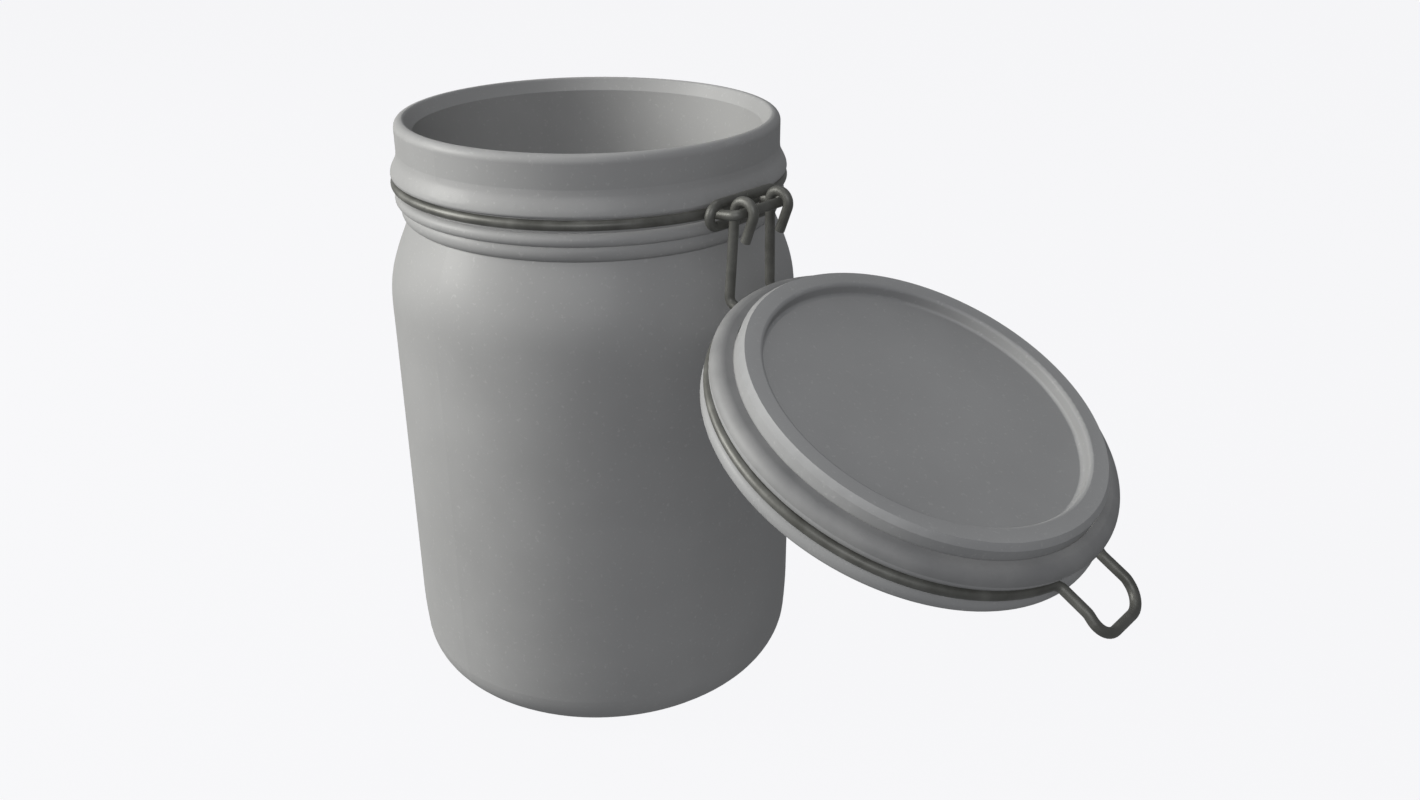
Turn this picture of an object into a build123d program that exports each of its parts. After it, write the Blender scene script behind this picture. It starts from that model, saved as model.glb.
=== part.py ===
from build123d import *
from math import asin, atan2, cos, hypot, radians, sin, sqrt, tan
import os

# One-litre preserving jar with a clip-top glass lid, shown open.
# Millimetres. +Z up, rear hinge at +Y, front clamp at -Y, origin at the centre of the foot.

# Wire
WIRE_D = 2.5
WIRE_R = WIRE_D / 2
CLEAR = 0.3                      # play between pieces that move on each other
WELD_GAP = 0.01                  # between welded wires

# Jar body: outside radii and the heights at which they apply
BODY_R = 55.0
RIM_Z = 161.0
MOUTH_R = 45.75
NECK_R = 50.3
LIP_ROUND = 2.0
LIP_EASE = (1.85, 3.4)           # the mouth opens out by this much over this height, for the swinging plug
FLARE_R, FLARE_Z = 52.2, 147.5   # collar above the wire groove
FLARE_TOP_Z = 151.5
GROOVE_R = 49.7
BEAD_R, BEAD_Z = 51.6, 141.0     # bead below the wire groove
RIDGE_R, RIDGE_Z = 50.2, 138.2   # thin ridge below the bead
WAIST_R, WAIST_Z = 48.6, 135.2
SHOULDER_Z = 105.0               # the straight wall ends here
TAPER_Z, TAPER_ROUND = 23.75, 120.0
CORNER_ROUND = 13.0
FOOT_R, FOOT_INNER_R = 41.5, 31.0
PUSH_UP = 2.5                    # hollow under the base
FLOOR_Z = 8.0
INNER_R = 51.0
NECK_BORE_LOW_Z = 138.0

# Neck wire and its front eyes
NECK_WIRE_R, NECK_WIRE_Z = 51.1, 144.85
EYE_R = 2 * WIRE_R + CLEAR       # centre line of an eye that turns on a wire
EYE_X = 15.9
PIVOT_Y = -54.6                  # the lever's axis, along X at NECK_WIRE_Z

# Rear hinge
HINGE_Y, HINGE_Z = 59.1, 145.85  # the lid's axis, along X
OPEN_ANGLE = 203.5               # from closed to the open rest
FRAME_HALF = 12.3
FRAME_TOP = (53.5, 147.6)        # Y, Z of the frame's upper and lower strands
FRAME_LOW = (53.05, 142.15)
BAR_HALF = 9.5
HOOK_R = 2.8
HOOK_X = 6.5
TAIL = (59.5, 138.9)             # Y, Z of a hook's free end
LEG_FOOT = (7.8, 55.7, 123.45)   # where a leg turns outwards to the lid

# Lid, depths measured from the plug ring's face
PLUG_R, RECESS_R, RECESS_DEPTH = 45.2, 39.5, 3.4
PLUG_EASE = (1.15, 1.4)          # bevel on the plug's leading edge, across and deep
GASKET_R, GASKET_BORE_R = 50.1, 45.4
GASKET_FACE, GASKET_BACK = 4.0, 6.9
RIM_ROUND = 2.85
LID_WIRE_R, LID_WIRE_DEPTH = 49.0, 10.56
CROWN_R, CROWN_ROUND = 49.85, 2.0
LID_DEPTH = 16.2
DISH_R, DISH_DEPTH = 34.0, 4.0

# Front tab of the lid wire, in the lid's plane: distance outwards, half width, depth
TAB_HALF = 9.1
TAB_BEND, TAB_BEND_DEPTH = 57.0, 11.4
TAB_TIP, TAB_TIP_DEPTH = 62.9, 14.1

# Front clamp
LEVER_X, LEVER_INNER_X = 19.1, 9.2
LEVER_TIP_X = 14.2
CRANK_Y, CRANK_Z = -53.0, 135.85  # the link's axis on the lever
LEVER_KNEE = (-57.5, 113.0)       # Y, Z
LEVER_END = (-61.0, 106.0)
LINK_X = 12.3
LINK_LENGTH = 35.87
LINK_LEAN = 7.5                   # the link hangs this far out from the vertical


def turned_open(y, z):
    """A point of the closed lid, in Y and Z, carried to the open rest about the hinge."""
    angle = radians(-OPEN_ANGLE)
    dy, dz = y - HINGE_Y, z - HINGE_Z
    return HINGE_Y + dy * cos(angle) - dz * sin(angle), HINGE_Z + dy * sin(angle) + dz * cos(angle)


# The lid's own plane: local X points away from the hinge, local Z out of the plug ring's face.
CLOSED_FACE_Z = RIM_Z + CLEAR - GASKET_FACE
LID_TILT = OPEN_ANGLE - 180
LID_Y, LID_Z = turned_open(0, CLOSED_FACE_Z)
LID_OUT = Vector(0, cos(radians(LID_TILT)), -sin(radians(LID_TILT)))
LID_UP = Vector(0, sin(radians(LID_TILT)), cos(radians(LID_TILT)))
LID_PLANE = Plane(origin=(0, LID_Y, LID_Z), x_dir=LID_OUT, z_dir=LID_UP)
LID_PROFILE_PLANE = Plane(origin=LID_PLANE.origin, x_dir=LID_OUT, z_dir=-LID_PLANE.y_dir)
LID_AXIS = Axis(LID_PLANE.origin, LID_UP)


def lid_point(out, side, depth):
    """A point given outwards, sideways and in depth behind the plug ring's face."""
    return LID_PLANE.from_local_coords(Vector(out, side, -depth))


def wire_along(path):
    """Sweep the round wire section along the path that has just been drawn."""
    with BuildSketch(Plane(origin=path @ 0, z_dir=path % 0)) as section:
        Circle(WIRE_R)
    sweep(sections=section.sketch, path=path)


def wire_eye(x, y, z):
    """One eye of wire whose hole runs along X."""
    with Locations(Location((x, y, z), (0, 90, 90))):
        Torus(EYE_R, WIRE_R)


# Jar body: one revolved wall
corner_y = CORNER_ROUND
lean = sin(radians(5.76))
taper_x = BODY_R - TAPER_ROUND
with BuildPart() as jar_body:
    with BuildSketch(Plane.XZ):
        with BuildLine():
            # outside, from the push-up's centre to the lip
            ThreePointArc((0, PUSH_UP), (FOOT_INNER_R * 0.55, PUSH_UP * 0.7), (FOOT_INNER_R, 0))
            Line((FOOT_INNER_R, 0), (FOOT_R, 0))
            corner = CenterArc((FOOT_R, corner_y), CORNER_ROUND, -90, 84.24)
            taper = ThreePointArc(
                corner @ 1,
                (taper_x + TAPER_ROUND * cos(radians(2.88)), TAPER_Z - TAPER_ROUND * sin(radians(2.88))),
                (BODY_R, TAPER_Z),
            )
            wall = Line(taper @ 1, (BODY_R, SHOULDER_Z))
            shoulder = Spline(
                wall @ 1, (54.2, 120.5), (51.6, 128.2), (WAIST_R, WAIST_Z), tangents=((0, 1), (-0.4, 1))
            )
            ridge = ThreePointArc(shoulder @ 1, (RIDGE_R, RIDGE_Z), (49.5, 139.4))
            bead = ThreePointArc(ridge @ 1, (BEAD_R, BEAD_Z), (GROOVE_R, 142.6))
            groove = Line(bead @ 1, (GROOVE_R, 146.3))
            collar_foot = Line(groove @ 1, (FLARE_R - 0.6, 146.5))
            collar_edge = ThreePointArc(collar_foot @ 1, (FLARE_R - 0.12, 146.85), (FLARE_R, FLARE_Z))
            collar = Spline(
                collar_edge @ 1, (51.55, 149.3), (NECK_R, FLARE_TOP_Z + 1.5), tangents=((-0.1, 1), (0, 1))
            )
            neck = Line(collar @ 1, (NECK_R, RIM_Z - LIP_ROUND))
            lip_out = CenterArc((NECK_R - LIP_ROUND, RIM_Z - LIP_ROUND), LIP_ROUND, 0, 90)
            lip_top = Line(lip_out @ 1, (MOUTH_R + LIP_EASE[0] + 0.5, RIM_Z))
            lip_turn = ThreePointArc(
                lip_top @ 1,
                (MOUTH_R + LIP_EASE[0] + 0.1, RIM_Z - 0.18),
                (MOUTH_R + LIP_EASE[0] - 0.2, RIM_Z - 0.55),
            )
            lip_slope = Line(lip_turn @ 1, (MOUTH_R, RIM_Z - LIP_EASE[1]))
            # inside, from the lip down to the floor
            bore = Line(lip_slope @ 1, (MOUTH_R, NECK_BORE_LOW_Z))
            throat = Spline(bore @ 1, (INNER_R, SHOULDER_Z + 8), tangents=((0, -1), (0, -1)))
            inner_wall = Line(throat @ 1, (INNER_R, FLOOR_Z + 11))
            inner_corner = RadiusArc(inner_wall @ 1, (INNER_R - 11, FLOOR_Z), 11)
            floor = Line(inner_corner @ 1, (0, FLOOR_Z))
            Line(floor @ 1, (0, PUSH_UP))
        make_face()
    revolve(axis=Axis.Z)
jar_body.part.label = "jar_body"

# Neck wire: a ring in the groove
with BuildPart() as neck_wire:
    with Locations((0, 0, NECK_WIRE_Z)):
        Torus(NECK_WIRE_R, WIRE_R)
neck_wire.part.label = "neck_wire"

# Lever eyes: two small eyes standing out from the front of the neck wire, coped to it and welded
ring_front_y = -sqrt(NECK_WIRE_R**2 - EYE_X**2)
with BuildPart() as lever_eyes:
    for side in (-1, 1):
        wire_eye(side * EYE_X, PIVOT_Y, NECK_WIRE_Z)
        with BuildSketch(Plane(origin=(side * EYE_X, ring_front_y, NECK_WIRE_Z), z_dir=(0, -1, 0))):
            Circle(WIRE_R)
        extrude(amount=ring_front_y - PIVOT_Y - EYE_R + 0.4)
    with Locations((0, 0, NECK_WIRE_Z)):
        Torus(NECK_WIRE_R, WIRE_R + WELD_GAP, mode=Mode.SUBTRACT)
lever_eyes.part.label = "lever_eyes"

# Hinge frame: a tall narrow loop behind the neck and the stand-off bar that the hooks turn on
with BuildPart() as hinge_frame:
    with BuildLine() as frame_loop:
        FilletPolyline(
            (0, *FRAME_TOP), (FRAME_HALF, *FRAME_TOP), (FRAME_HALF, *FRAME_LOW),
            (-FRAME_HALF, *FRAME_LOW), (-FRAME_HALF, *FRAME_TOP), (-0.01, *FRAME_TOP),
            radius=2.8,
        )
    wire_along(frame_loop.line)
    with BuildLine() as stand_off:
        FilletPolyline(
            (BAR_HALF, NECK_WIRE_R - 0.9, NECK_WIRE_Z), (BAR_HALF, HINGE_Y, HINGE_Z),
            (-BAR_HALF, HINGE_Y, HINGE_Z), (-BAR_HALF, NECK_WIRE_R - 0.9, NECK_WIRE_Z),
            radius=1.6,
        )
    wire_along(stand_off.line)
    # spot welds where the stand-off passes under the loop's upper strand
    with Locations((BAR_HALF, FRAME_TOP[0], 146.3), (-BAR_HALF, FRAME_TOP[0], 146.3)):
        Sphere(1.15)
    with Locations((0, 0, NECK_WIRE_Z)):
        Torus(NECK_WIRE_R, WIRE_R + WELD_GAP, mode=Mode.SUBTRACT)
hinge_frame.part.label = "hinge_frame"

# Lid: pressed glass, revolved about its own axis; profile X is the radius, profile Y minus the depth
groove_half = WIRE_R + 0.15
with BuildPart() as lid:
    with BuildSketch(LID_PROFILE_PLANE):
        with BuildLine():
            recess_floor = Line((0, -RECESS_DEPTH), (RECESS_R - 0.8, -RECESS_DEPTH))
            recess_root = ThreePointArc(
                recess_floor @ 1, (RECESS_R - 0.23, -RECESS_DEPTH + 0.23), (RECESS_R, -RECESS_DEPTH + 0.8)
            )
            recess_wall = Line(recess_root @ 1, (RECESS_R, -0.9))
            recess_lip = RadiusArc(recess_wall @ 1, (RECESS_R + 0.9, 0), 0.9)
            plug_face = Line(recess_lip @ 1, (PLUG_R - PLUG_EASE[0], 0))
            plug_bevel = Line(plug_face @ 1, (PLUG_R, -PLUG_EASE[1]))
            plug_wall = Line(plug_bevel @ 1, (PLUG_R, -GASKET_BACK))
            seat = Line(plug_wall @ 1, (GASKET_R, -GASKET_BACK))
            flange = RadiusArc(seat @ 1, (GASKET_R - RIM_ROUND + 1.2, -9.35), RIM_ROUND)
            wire_groove = ThreePointArc(
                flange @ 1, (LID_WIRE_R - groove_half, -LID_WIRE_DEPTH), (GASKET_R - RIM_ROUND + 1.2, -11.9)
            )
            crown_top = RadiusArc(wire_groove @ 1, (CROWN_R, -14.2), CROWN_ROUND)
            crown_edge = RadiusArc(crown_top @ 1, (CROWN_R - CROWN_ROUND, -LID_DEPTH), CROWN_ROUND)
            crown = Line(crown_edge @ 1, (DISH_R + 4.0, -LID_DEPTH))
            dish_slope = Spline(
                crown @ 1, (DISH_R - 3.0, -LID_DEPTH + DISH_DEPTH), tangents=((-1, 0), (-1, 0))
            )
            dish = Line(dish_slope @ 1, (0, -LID_DEPTH + DISH_DEPTH))
            Line(dish @ 1, (0, -RECESS_DEPTH))
        make_face()
    revolve(axis=LID_AXIS)
lid.part.label = "lid"

# Gasket: flat rubber ring round the plug, with a rounded outer edge
with BuildPart() as gasket:
    with BuildSketch(LID_PROFILE_PLANE):
        with BuildLine():
            back = Line((GASKET_BORE_R, -GASKET_BACK + 0.02), (GASKET_R, -GASKET_BACK + 0.02))
            edge = RadiusArc(back @ 1, (GASKET_R - RIM_ROUND, -GASKET_FACE), -RIM_ROUND)
            face = Line(edge @ 1, (GASKET_BORE_R, -GASKET_FACE))
            Line(face @ 1, back @ 0)
        make_face()
    revolve(axis=LID_AXIS)
gasket.part.label = "gasket"

# Lid wire: hooks, legs, ring and tab, bent from one length. Angles are round the lid from its front or rear.
REAR_ANGLE, FRONT_ANGLE = 15.5, 15.0


def ring_tangent(angle, side_at, rear):
    """Where the ring's tangent at this angle from the front or rear reaches the given side distance."""
    start_side = LID_WIRE_R * sin(radians(angle))
    travel = (start_side - side_at) / cos(radians(angle))
    out = LID_WIRE_R * cos(radians(angle)) + travel * sin(radians(angle))
    return -out if rear else out


# the hook's tail leaves the hook along the tangent through its free end
tail_y, tail_z = TAIL[0] - HINGE_Y, TAIL[1] - HINGE_Z
tail_angle = atan2(-tail_z, -tail_y) - asin(HOOK_R / hypot(tail_y, tail_z))
hook_corner_y = TAIL[0] + (HINGE_Z + HOOK_R - TAIL[1]) / tan(tail_angle)

with BuildPart() as lid_wire:
    for side in (-1, 1):
        with BuildLine() as leg:
            FilletPolyline(
                (-side * HOOK_X, *TAIL),
                (-side * HOOK_X, hook_corner_y, HINGE_Z + HOOK_R),
                (-side * HOOK_X, HINGE_Y - HOOK_R, HINGE_Z + HOOK_R),
                (-side * LEG_FOOT[0], *LEG_FOOT[1:]),
                lid_point(ring_tangent(REAR_ANGLE, LEG_FOOT[0], True), side * LEG_FOOT[0], LID_WIRE_DEPTH),
                lid_point(
                    -LID_WIRE_R * cos(radians(REAR_ANGLE)),
                    side * LID_WIRE_R * sin(radians(REAR_ANGLE)),
                    LID_WIRE_DEPTH,
                ),
                radius=[HOOK_R - 0.02, HOOK_R - 0.02, 2.2, 2.2],
            )
        wire_along(leg.line)
        with BuildLine(LID_PLANE.offset(-LID_WIRE_DEPTH)) as half_ring:
            CenterArc(
                (0, 0), LID_WIRE_R, side * FRONT_ANGLE, side * (180 - REAR_ANGLE - FRONT_ANGLE)
            )
        wire_along(half_ring.line)
    with BuildLine() as tab:
        tab_root = ring_tangent(FRONT_ANGLE, TAB_HALF, False)
        ring_out = LID_WIRE_R * cos(radians(FRONT_ANGLE))
        ring_side = LID_WIRE_R * sin(radians(FRONT_ANGLE))
        FilletPolyline(
            lid_point(ring_out, ring_side, LID_WIRE_DEPTH),
            lid_point(tab_root, TAB_HALF, LID_WIRE_DEPTH),
            lid_point(TAB_BEND, TAB_HALF, TAB_BEND_DEPTH),
            lid_point(TAB_TIP, TAB_HALF, TAB_TIP_DEPTH),
            lid_point(TAB_TIP, -TAB_HALF, TAB_TIP_DEPTH),
            lid_point(TAB_BEND, -TAB_HALF, TAB_BEND_DEPTH),
            lid_point(tab_root, -TAB_HALF, LID_WIRE_DEPTH),
            lid_point(ring_out, -ring_side, LID_WIRE_DEPTH),
            radius=[2.6, 4.0, 5.2, 5.2, 4.0, 2.6],
        )
    wire_along(tab.line)
lid_wire.part.label = "lid_wire"

# Clamp lever: one cranked U of wire; its short ends turn in the neck wire's eyes
with BuildPart() as clamp_lever:
    with BuildLine() as lever:
        FilletPolyline(
            (LEVER_TIP_X, PIVOT_Y, NECK_WIRE_Z), (LEVER_X, PIVOT_Y, NECK_WIRE_Z),
            (LEVER_X, CRANK_Y, CRANK_Z), (LEVER_INNER_X, CRANK_Y, CRANK_Z),
            (LEVER_INNER_X, *LEVER_KNEE), (LEVER_INNER_X, *LEVER_END),
            (-LEVER_INNER_X, *LEVER_END), (-LEVER_INNER_X, *LEVER_KNEE),
            (-LEVER_INNER_X, CRANK_Y, CRANK_Z), (-LEVER_X, CRANK_Y, CRANK_Z),
            (-LEVER_X, PIVOT_Y, NECK_WIRE_Z), (-LEVER_TIP_X, PIVOT_Y, NECK_WIRE_Z),
            radius=[1.8, 1.8, 1.8, 6.0, 5.0, 5.0, 6.0, 1.8, 1.8, 1.8],
        )
    wire_along(lever.line)
clamp_lever.part.label = "clamp_lever"

# Latch link: a U of wire with an eye at each end, hanging from the lever's cranks
link_out = -sin(radians(LINK_LEAN))
link_down = -cos(radians(LINK_LEAN))
link_end = (CRANK_Y + LINK_LENGTH * link_out, CRANK_Z + LINK_LENGTH * link_down)
link_start = (CRANK_Y + (EYE_R - 0.4) * link_out, CRANK_Z + (EYE_R - 0.4) * link_down)
with BuildPart() as latch_link:
    with BuildLine() as link:
        FilletPolyline(
            (LINK_X, *link_start), (LINK_X, *link_end), (-LINK_X, *link_end), (-LINK_X, *link_start),
            radius=4.5,
        )
    wire_along(link.line)
    for side in (-1, 1):
        wire_eye(side * LINK_X, CRANK_Y, CRANK_Z)
latch_link.part.label = "latch_link"

os.makedirs("parts", exist_ok=True)
for name, piece in (
    ("jar_body", jar_body),
    ("neck_wire", neck_wire),
    ("lever_eyes", lever_eyes),
    ("hinge_frame", hinge_frame),
    ("lid", lid),
    ("gasket", gasket),
    ("lid_wire", lid_wire),
    ("clamp_lever", clamp_lever),
    ("latch_link", latch_link),
):
    export_step(piece.part, f"parts/{name}.step")
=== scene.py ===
import math

import bmesh
import bpy
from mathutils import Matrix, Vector, noise


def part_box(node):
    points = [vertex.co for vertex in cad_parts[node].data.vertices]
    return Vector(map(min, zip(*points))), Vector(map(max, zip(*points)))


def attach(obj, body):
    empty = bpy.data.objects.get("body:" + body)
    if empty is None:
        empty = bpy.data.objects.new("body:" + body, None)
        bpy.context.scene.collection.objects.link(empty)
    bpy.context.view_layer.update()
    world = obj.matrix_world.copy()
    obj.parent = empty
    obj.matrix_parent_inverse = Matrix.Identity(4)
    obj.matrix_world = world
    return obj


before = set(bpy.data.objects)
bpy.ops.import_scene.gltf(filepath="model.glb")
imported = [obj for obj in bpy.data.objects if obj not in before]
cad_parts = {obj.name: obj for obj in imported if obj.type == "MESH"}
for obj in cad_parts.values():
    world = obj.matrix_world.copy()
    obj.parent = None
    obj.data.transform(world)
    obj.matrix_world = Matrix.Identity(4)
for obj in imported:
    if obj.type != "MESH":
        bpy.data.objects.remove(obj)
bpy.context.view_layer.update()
MM = 0.001
scene = bpy.context.scene


# ---------------------------------------------------------------- shader helpers


def new_material(name):
    """An empty node material: returns (material, nodes, link function, principled shader)."""
    mat = bpy.data.materials.new(name)
    mat.use_nodes = True
    tree = mat.node_tree
    tree.nodes.clear()
    out = tree.nodes.new("ShaderNodeOutputMaterial")
    bsdf = tree.nodes.new("ShaderNodeBsdfPrincipled")
    tree.links.new(bsdf.outputs["BSDF"], out.inputs["Surface"])
    return mat, tree.nodes, tree.links.new, bsdf


def object_coords(nodes):
    return nodes.new("ShaderNodeTexCoord").outputs["Object"]


def noise_value(nodes, link, vector, scale, detail=4.0, roughness=0.55, stretch=None):
    """A noise texture's value, with its space stretched first if asked."""
    if stretch:
        mapping = nodes.new("ShaderNodeMapping")
        mapping.inputs["Scale"].default_value = stretch
        link(vector, mapping.inputs["Vector"])
        vector = mapping.outputs["Vector"]
    tex = nodes.new("ShaderNodeTexNoise")
    tex.inputs["Scale"].default_value = scale
    tex.inputs["Detail"].default_value = detail
    tex.inputs["Roughness"].default_value = roughness
    link(vector, tex.inputs["Vector"])
    return tex.outputs["Fac"]


def ramp(nodes, link, value, stops):
    """A colour ramp; stops are (position, grey or colour)."""
    node = nodes.new("ShaderNodeValToRGB")
    elements = node.color_ramp.elements
    while len(elements) < len(stops):
        elements.new(0.5)
    for element, (position, colour) in zip(elements, stops):
        element.position = position
        shade = colour if isinstance(colour, tuple) else (colour, colour, colour)
        element.color = (*shade, 1.0)
    link(value, node.inputs["Fac"])
    return node.outputs["Color"]


def remap(nodes, link, value, low, high):
    node = nodes.new("ShaderNodeMapRange")
    node.inputs["To Min"].default_value = low
    node.inputs["To Max"].default_value = high
    link(value, node.inputs["Value"])
    return node.outputs["Result"]


def maths(nodes, link, operation, a, b=None):
    node = nodes.new("ShaderNodeMath")
    node.operation = operation
    for socket, value in zip(node.inputs, (a, b)):
        if value is None:
            continue
        if isinstance(value, (int, float)):
            socket.default_value = value
        else:
            link(value, socket)
    return node.outputs["Value"]


def mix_colour(nodes, link, factor, a, b, blend="MIX"):
    node = nodes.new("ShaderNodeMix")
    node.data_type = "RGBA"
    node.blend_type = blend
    for name, value in (("Factor", factor), ("A", a), ("B", b)):
        socket = next(s for s in node.inputs if s.name == name and s.enabled)
        if isinstance(value, (int, float)):
            socket.default_value = value
        elif isinstance(value, tuple):
            socket.default_value = (*value, 1.0)
        else:
            link(value, socket)
    return next(s for s in node.outputs if s.enabled)


def add_bump(nodes, link, bsdf, layers):
    """Chains bump nodes; layers are (height, distance in metres, strength)."""
    normal = None
    for height, distance, strength in layers:
        bump = nodes.new("ShaderNodeBump")
        bump.inputs["Distance"].default_value = distance
        bump.inputs["Strength"].default_value = strength
        link(height, bump.inputs["Height"])
        if normal:
            link(normal, bump.inputs["Normal"])
        normal = bump.outputs["Normal"]
    link(normal, bsdf.inputs["Normal"])


def worn_edges(nodes, link):
    """1 near convex edges, 0 on open surfaces."""
    geometry = nodes.new("ShaderNodeNewGeometry")
    return ramp(nodes, link, geometry.outputs["Pointiness"], [(0.515, 0.0), (0.56, 1.0)])


# ---------------------------------------------------------------- materials


def glass_material(name, tone):
    """Dense smoky satin glass: soft mottling, flow waviness, fine ripples and rubbed edges."""
    mat, nodes, link, bsdf = new_material(name)
    coords = object_coords(nodes)
    clouds = noise_value(nodes, link, coords, 28.0, 3.0)
    flow = noise_value(nodes, link, coords, 34.0, 2.0, stretch=(1.0, 1.0, 0.28))
    specks = noise_value(nodes, link, coords, 900.0, 2.0)
    base = ramp(
        nodes, link, clouds,
        [(0.3, tuple(c * 0.94 for c in tone)), (0.7, tuple(c * 1.05 for c in tone))],
    )
    dust = ramp(nodes, link, specks, [(0.62, 0.0), (0.74, 1.0)])
    base = mix_colour(nodes, link, maths(nodes, link, "MULTIPLY", dust, 0.10), base, (0.62, 0.62, 0.60))
    edges = worn_edges(nodes, link)
    base = mix_colour(
        nodes, link, maths(nodes, link, "MULTIPLY", edges, 0.16), base, tuple(min(1, c * 1.5) for c in tone)
    )
    link(base, bsdf.inputs["Base Color"])
    dusty = maths(nodes, link, "MULTIPLY", dust, 0.10)
    rough = maths(nodes, link, "ADD", remap(nodes, link, clouds, 0.50, 0.62), dusty)
    link(rough, bsdf.inputs["Roughness"])
    bsdf.inputs["IOR"].default_value = 1.5
    bsdf.inputs["Specular IOR Level"].default_value = 0.22
    bsdf.inputs["Coat Weight"].default_value = 0.05
    bsdf.inputs["Coat Roughness"].default_value = 0.2
    add_bump(nodes, link, bsdf, [(flow, 0.25 * MM, 0.35), (specks, 0.02 * MM, 0.35)])
    return mat


def wire_material(name):
    """Drawn steel wire: olive-grey patina and fine die scratches."""
    mat, nodes, link, bsdf = new_material(name)
    coords = object_coords(nodes)
    patina = noise_value(nodes, link, coords, 160.0, 5.0)
    grime = noise_value(nodes, link, coords, 620.0, 3.0)
    draw = noise_value(nodes, link, coords, 2400.0, 2.0, stretch=(1.0, 1.0, 0.15))
    base = ramp(
        nodes, link, patina,
        [(0.28, (0.066, 0.066, 0.059)), (0.5, (0.094, 0.094, 0.086)), (0.75, (0.132, 0.132, 0.122))],
    )
    spots = ramp(nodes, link, grime, [(0.60, 0.0), (0.72, 1.0)])
    base = mix_colour(nodes, link, maths(nodes, link, "MULTIPLY", spots, 0.35), base, (0.07, 0.066, 0.058))
    link(base, bsdf.inputs["Base Color"])
    bsdf.inputs["Metallic"].default_value = 0.35
    link(remap(nodes, link, patina, 0.36, 0.58), bsdf.inputs["Roughness"])
    add_bump(nodes, link, bsdf, [(draw, 0.03 * MM, 0.5), (grime, 0.05 * MM, 0.35)])
    return mat


def weld_material(name):
    """Spot-weld metal: darker, heat tinted and lumpy."""
    mat, nodes, link, bsdf = new_material(name)
    coords = object_coords(nodes)
    heat = noise_value(nodes, link, coords, 420.0, 4.0)
    base = ramp(
        nodes, link, heat,
        [(0.3, (0.07, 0.066, 0.062)), (0.55, (0.13, 0.125, 0.112)), (0.75, (0.17, 0.15, 0.125))],
    )
    link(base, bsdf.inputs["Base Color"])
    bsdf.inputs["Metallic"].default_value = 0.4
    link(remap(nodes, link, heat, 0.4, 0.62), bsdf.inputs["Roughness"])
    add_bump(nodes, link, bsdf, [(heat, 0.2 * MM, 0.5)])
    return mat


def rubber_material(name):
    """Grey natural rubber: matt, faintly bloomed, with moulding grain."""
    mat, nodes, link, bsdf = new_material(name)
    coords = object_coords(nodes)
    bloom = noise_value(nodes, link, coords, 90.0, 4.0)
    grain = noise_value(nodes, link, coords, 2200.0, 2.0)
    base = ramp(
        nodes, link, bloom,
        [(0.3, (0.155, 0.156, 0.158)), (0.7, (0.20, 0.20, 0.20))],
    )
    link(base, bsdf.inputs["Base Color"])
    link(remap(nodes, link, bloom, 0.5, 0.66), bsdf.inputs["Roughness"])
    bsdf.inputs["Specular IOR Level"].default_value = 0.4
    add_bump(nodes, link, bsdf, [(grain, 0.04 * MM, 0.5), (bloom, 0.1 * MM, 0.25)])
    return mat


JAR_TONE = (0.245, 0.245, 0.245)
LID_TONE = (0.245, 0.246, 0.248)
jar_glass = glass_material("jar_glass_satin", JAR_TONE)
lid_glass = glass_material("lid_glass_satin", LID_TONE)
steel = wire_material("drawn_steel_wire")
weld_metal = weld_material("weld_metal")
rubber = rubber_material("gasket_rubber_grey")

for node, mat in (
    ("jar_body", jar_glass),
    ("lid", lid_glass),
    ("gasket", rubber),
    ("neck_wire", steel),
    ("lever_eyes", steel),
    ("hinge_frame", steel),
    ("lid_wire", steel),
    ("clamp_lever", steel),
    ("latch_link", steel),
):
    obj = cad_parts[node]
    if not obj.material_slots:
        obj.data.materials.append(mat)
    for place in obj.material_slots:
        place.material = mat


# ---------------------------------------------------------------- weld beads on the neck wire

ring_low, ring_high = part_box("neck_wire")
WIRE_R = (ring_high.z - ring_low.z) / 2
RING_R = ring_high.x - WIRE_R
RING_Z = (ring_high.z + ring_low.z) / 2
STAND_OFF_INSET = 2.8 * MM   # from the hinge frame's outer strand to the stand-off arm
BEAD = (1.5 * MM, 0.75 * MM, 1.5 * MM)


def weld_bead(name, side_x, rear):
    """A lumpy collar of weld where an arm of this X meets the neck ring, behind or in front."""
    mesh = bpy.data.meshes.new(name)
    shape = bmesh.new()
    bmesh.ops.create_icosphere(shape, subdivisions=3, radius=1.0)
    centre_y = math.sqrt(RING_R**2 - side_x**2) + WIRE_R
    place = Vector((side_x, centre_y if rear else -centre_y, RING_Z))
    for vert in shape.verts:
        lump = 1.0 + 0.09 * noise.noise(vert.co * 2.3 + place / MM)
        vert.co = Vector(size * part * lump for size, part in zip(BEAD, vert.co)) + place
    for face in shape.faces:
        face.smooth = True
    shape.to_mesh(mesh)
    shape.free()
    bead = bpy.data.objects.new(name, mesh)
    scene.collection.objects.link(bead)
    mesh.materials.append(weld_metal)
    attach(bead, "jar")


arm_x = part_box("hinge_frame")[1].x - WIRE_R - STAND_OFF_INSET
eye_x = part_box("lever_eyes")[1].x - WIRE_R
for label, side in (("left", -1), ("right", 1)):
    weld_bead(f"weld_stand_off_{label}", side * arm_x, True)
    weld_bead(f"weld_lever_eye_{label}", side * eye_x, False)


# ---------------------------------------------------------------- camera, floor and light

jar_low, jar_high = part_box("jar_body")
JAR_HEIGHT = jar_high.z - jar_low.z
JAR_RADIUS = (jar_high.x - jar_low.x) / 2

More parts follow.
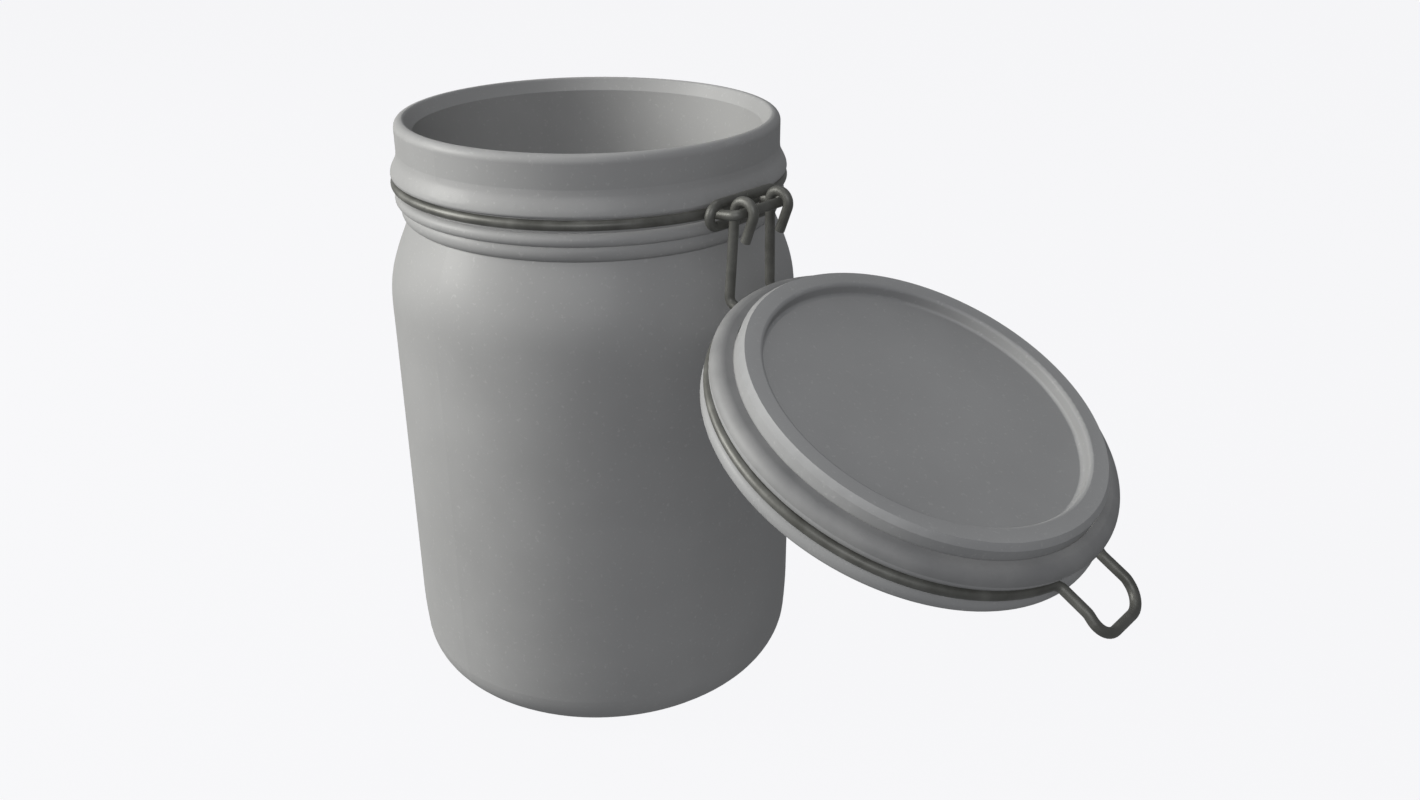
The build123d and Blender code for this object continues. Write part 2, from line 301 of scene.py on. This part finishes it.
AZIMUTH, ELEVATION = math.radians(131.53), math.radians(24.53)
CAMERA_DISTANCE = 0.36
LENS_MM, SENSOR_MM = 31.89, 36.0
outward = Vector(
    (
        math.sin(AZIMUTH) * math.cos(ELEVATION),
        -math.cos(AZIMUTH) * math.cos(ELEVATION),
        math.sin(ELEVATION),
    )
)
target = Vector((-0.326 * JAR_RADIUS, 0.483 * JAR_RADIUS, 0.493 * JAR_HEIGHT))
camera = bpy.data.objects.new("camera", bpy.data.cameras.new("camera"))
scene.collection.objects.link(camera)
camera.data.sensor_width = SENSOR_MM
camera.data.lens = LENS_MM
camera.data.clip_start = 0.01
camera.location = target + outward * CAMERA_DISTANCE
camera.rotation_euler = (-outward).to_track_quat("-Z", "Y").to_euler()
scene.camera = camera


def area_light(name, place, aim, size, power, colour=(1.0, 1.0, 1.0), shadow=True):
    data = bpy.data.lights.new(name, "AREA")
    data.shape = "DISK"
    data.size = size
    data.energy = power
    data.color = colour
    data.use_shadow = shadow
    light = bpy.data.objects.new(name, data)
    scene.collection.objects.link(light)
    light.location = place
    light.rotation_euler = (Vector(aim) - Vector(place)).to_track_quat("-Z", "Y").to_euler()
    return light


# directions as the camera sees them
seen_right = Vector((math.cos(AZIMUTH), math.sin(AZIMUTH), 0.0))
seen_back = Vector((-math.sin(AZIMUTH), math.cos(AZIMUTH), 0.0))
up = Vector((0.0, 0.0, 1.0))
centre = Vector((0.0, 0.25 * JAR_RADIUS, 0.5 * JAR_HEIGHT))

LIGHT_DISTANCE = 1.2
LIGHT_SIZE = 0.60
KEY_WATTS, SIDE_FILL_WATTS, FRONT_FILL_WATTS, TOP_FILL_WATTS = 8.0, 15.0, 4.5, 2.0
SURROUND_STRENGTH = 0.29
key_side, key_height = math.radians(86.0), math.radians(25.0)
key_from = (
    -seen_right * math.sin(key_side) * math.cos(key_height)
    - seen_back * math.cos(key_side) * math.cos(key_height)
    + up * math.sin(key_height)
)
KEY_PLACE = centre + key_from * LIGHT_DISTANCE
KEY_TINT = (1.0, 0.995, 0.955)
area_light("key", KEY_PLACE, centre, LIGHT_SIZE, KEY_WATTS, KEY_TINT)
# fills that cast no shadow, so that the inside and the lee of the lid stay open
area_light("fill", KEY_PLACE, centre, LIGHT_SIZE, SIDE_FILL_WATTS, KEY_TINT, shadow=False)
FILL_TINT = (0.97, 0.98, 1.0)
front_from = (up * 0.55 - seen_back).normalized()
FRONT_PLACE = centre + front_from * LIGHT_DISTANCE
area_light("front", FRONT_PLACE, centre, LIGHT_SIZE, FRONT_FILL_WATTS, FILL_TINT, shadow=False)
TOP_PLACE = centre + seen_back * 0.2 + up * LIGHT_DISTANCE
area_light("top", TOP_PLACE, centre, LIGHT_SIZE, TOP_FILL_WATTS, FILL_TINT, shadow=False)

world = bpy.data.worlds.new("studio")
scene.world = world
world.use_nodes = True
surround = world.node_tree.nodes["Background"]
surround.inputs["Color"].default_value = (0.96, 0.975, 1.0, 1.0)
surround.inputs["Strength"].default_value = SURROUND_STRENGTH
scene.view_settings.view_transform = "Standard"

PAPER = (0.930, 0.930, 0.947)


def unlit_stage(obj, glow, grey):
    """A pale stage surface that shows to the camera and lends the object no light."""
    mat, nodes, link, bsdf = new_material(obj.name)
    bsdf.inputs["Base Color"].default_value = (grey, grey, grey, 1.0)
    bsdf.inputs["Roughness"].default_value = 0.95
    bsdf.inputs["Specular IOR Level"].default_value = 0.0
    bsdf.inputs["Emission Color"].default_value = (*(c * glow for c in PAPER), 1.0)
    bsdf.inputs["Emission Strength"].default_value = 1.0
    obj.data.materials.append(mat)
    obj.visible_diffuse = False
    obj.visible_glossy = False
    obj.visible_transmission = False
    obj.visible_shadow = False


bpy.ops.mesh.primitive_uv_sphere_add(segments=64, ring_count=32, radius=6.0)
backdrop = bpy.context.object
backdrop.name = "studio_backdrop"
unlit_stage(backdrop, 1.0, 0.0)
bpy.ops.mesh.primitive_circle_add(vertices=96, radius=5.0, fill_type="NGON", location=(0, 0, -0.0002))
floor = bpy.context.object
floor.name = "studio_floor"
unlit_stage(floor, 0.975, 0.02)
